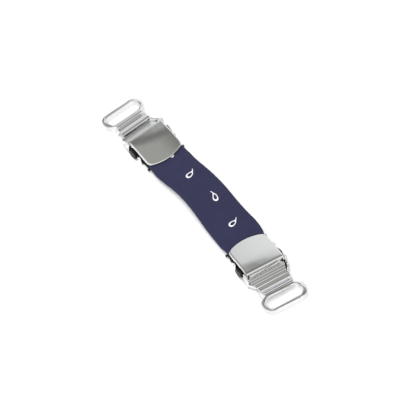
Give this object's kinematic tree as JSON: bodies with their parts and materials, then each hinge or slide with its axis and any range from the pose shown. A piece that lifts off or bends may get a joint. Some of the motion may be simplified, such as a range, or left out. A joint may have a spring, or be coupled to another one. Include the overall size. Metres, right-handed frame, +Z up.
{
  "type": "shirt stay",
  "caption": "Short folded cloth band held at each end by a hinged lever clasp with a ring for a strap.",
  "frame": {"origin": "bottom centre of the stay as it lies on a surface", "axes": "+X along the band from clasp a to clasp b, +Y across it, +Z up from the surface; the polished levers face up"},
  "size_m": [0.1914, 0.037, 0.0093],
  "materials": {
    "navy_cloth": "woven cotton, navy with a sparse white printed drop outline",
    "base_chrome": "bright plated stamped steel",
    "lever_chrome": "bright plated polished steel",
    "black_grip": "moulded, matt"
  },
  "bodies": {
    "band_and_frames": {"cloth_band": "navy_cloth", "base_frame_a": "base_chrome", "base_frame_b": "base_chrome", "grip_a": "black_grip", "grip_b": "black_grip"},
    "lever_body_a": {"lever_a": "lever_chrome"},
    "lever_body_b": {"lever_b": "lever_chrome"}
  },
  "joints": [
    {"name": "lever_hinge_a", "type": "hinge", "parent": "band_and_frames", "child": "lever_body_a", "pos_m": [-0.06572, -0.00046, 0.0065], "axis": [0.0698, -0.9976, 0], "range_deg": [0, 95]},
    {"name": "lever_hinge_b", "type": "hinge", "parent": "band_and_frames", "child": "lever_body_b", "pos_m": [0.06558, 0.00075, 0.0065], "axis": [0.0872, 0.9962, 0], "range_deg": [0, 95]}
  ]
}
